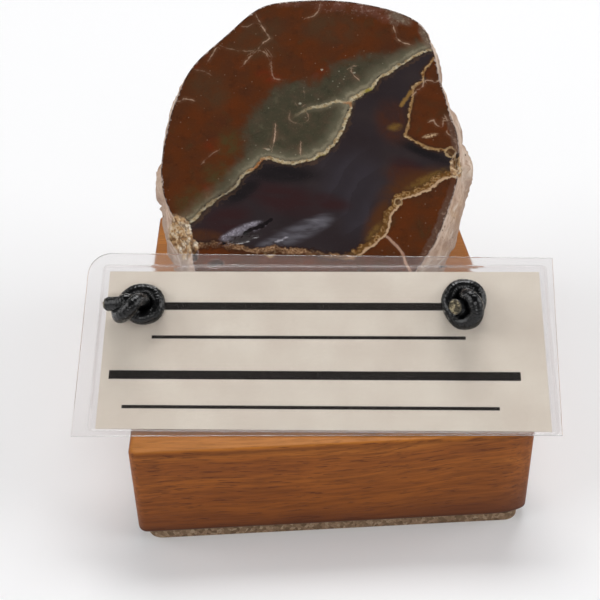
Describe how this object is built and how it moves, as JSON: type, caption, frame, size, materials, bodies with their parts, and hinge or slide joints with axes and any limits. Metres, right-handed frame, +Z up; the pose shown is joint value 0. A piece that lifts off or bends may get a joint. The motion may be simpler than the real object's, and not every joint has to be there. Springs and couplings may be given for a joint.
{
  "type": "polished thunderegg on a wood block",
  "caption": "Polished thunderegg half, glued leaning back on a small wood block, with a laminated card tied in front of it by a knotted leather cord.",
  "frame": {"origin": "middle of the cork pad's underside", "axes": "+Z up, -Y is the front that the polished face and the card look towards, +X to the right seen from the front"},
  "size_m": [0.07, 0.0727, 0.0586],
  "materials": {
    "base_wood": "sanded and oiled hardwood with a satin sheen",
    "pad_cork": "thin sheet of ground cork, matt",
    "stone": "brown and green jasper round dark agate, polished on the cut, rough pinkish rind elsewhere",
    "film": "clear glossy laminating film",
    "paper": "cream paper with plain printed rules",
    "cord_leather": "round dyed leather cord, black, half gloss"
  },
  "bodies": {
    "root": {"base": "base_wood", "base_pad": "pad_cork", "thunderegg": "stone", "tag_film_front": "film", "tag_film_back": "film", "tag_paper": "paper", "cord": "cord_leather"}
  },
  "joints": []
}
